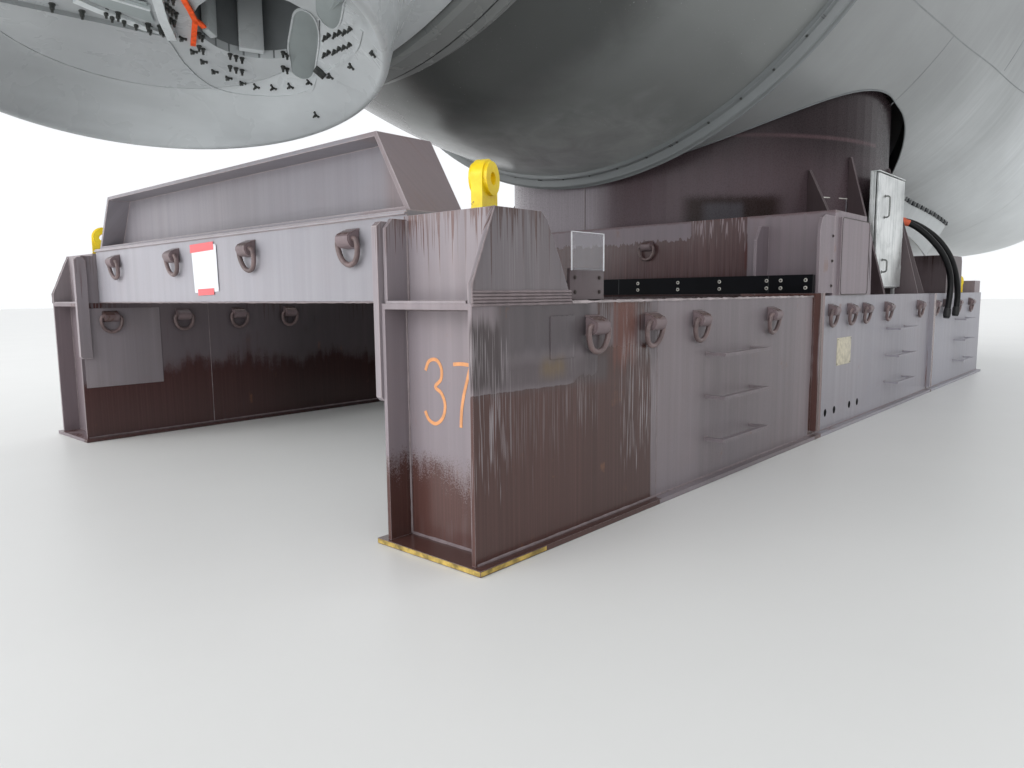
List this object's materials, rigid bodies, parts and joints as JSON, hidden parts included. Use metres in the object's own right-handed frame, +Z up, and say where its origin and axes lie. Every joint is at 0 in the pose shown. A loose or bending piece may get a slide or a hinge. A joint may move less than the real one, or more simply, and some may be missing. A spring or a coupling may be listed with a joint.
{
  "type": "wind turbine nacelle on transport frame",
  "caption": "Large direct-drive wind turbine nacelle with rounded hub, blade openings and rear canopy, bolted by its tower adapter to a welded steel transport frame with lifting lugs.",
  "frame": {"origin": "on the floor, in the middle of the whole length and width", "axes": "+X from the hub towards the tail along the rotor axis, +Y to the left side, +Z up"},
  "size_m": [21.2, 8.441, 10.9],
  "materials": {
    "primer": "mauve brown primer, part wet, with run marks",
    "primer_dark": "dark red brown primer, wet sheen",
    "shell_grey": "light grey gelcoat, satin",
    "housing_grey": "dark grey paint with water drops",
    "flange_grey": "light grey machined and painted",
    "machined_steel": "dull, greased",
    "lug_yellow": "signal yellow paint with scuffs",
    "stainless": "brushed, dull",
    "guard_rubber": "black, wet"
  },
  "bodies": {
    "nacelle_and_frame": {"adapter_gusset_left_1": "primer_dark", "adapter_gusset_left_2": "primer_dark", "adapter_gusset_left_3": "primer_dark", "adapter_gusset_left_4": "primer_dark", "adapter_gusset_right_1": "primer_dark", "adapter_gusset_right_2": "primer_dark", "adapter_gusset_right_3": "primer_dark", "adapter_gusset_right_4": "primer_dark", "adapter_seat_front": "primer", "adapter_seat_rear": "primer_dark", "cabinet_body": "stainless", "canopy_main": "shell_grey", "canopy_tail": "shell_grey", "centre_box": "primer_dark", "corner_post_left": "primer", "corner_post_right": "primer", "cross_beam_rear": "primer_dark", "cross_end_plate_left": "primer_dark", "cross_end_plate_right": "primer_dark", "cross_girder_front": "primer", "cross_girder_hump": "primer", "front_ring": "housing_grey", "generator_housing": "housing_grey", "girder_front_left": "primer", "girder_front_right": "primer", "girder_middle_left": "primer", "girder_middle_right": "primer", "girder_rear_left": "primer", "girder_rear_right": "primer", "guard_strip": "guard_rubber", "lifting_lug_front_left": "lug_yellow", "lifting_lug_front_right": "lug_yellow", "lifting_lug_rear_left": "lug_yellow", "lifting_lug_rear_right": "lug_yellow", "rim_flange": "shell_grey", "supply_cable_1": "guard_rubber", "supply_cable_2": "guard_rubber", "tower_adapter": "primer_dark", "yaw_ring": "machined_steel"},
    "rotor": {"hub_cover": "shell_grey", "blade_seat_1": "shell_grey", "blade_seat_2": "shell_grey", "blade_seat_3": "shell_grey", "blade_collar_1": "shell_grey", "blade_collar_2": "shell_grey", "blade_collar_3": "shell_grey", "blade_flange_1": "flange_grey", "blade_flange_2": "flange_grey", "blade_flange_3": "flange_grey"},
    "cabinet_door": {"cabinet_door": "stainless"}
  },
  "joints": [
    {"name": "rotor_spin", "type": "hinge", "parent": "nacelle_and_frame", "child": "rotor", "pos_m": [-6.6, 0, 6.75], "axis": [1, 0, 0], "continuous": true},
    {"name": "cabinet_door_hinge", "type": "hinge", "parent": "nacelle_and_frame", "child": "cabinet_door", "pos_m": [1.828, -2.749, 2.0425], "axis": [0, 0, 1], "range_deg": [0, 100]}
  ]
}
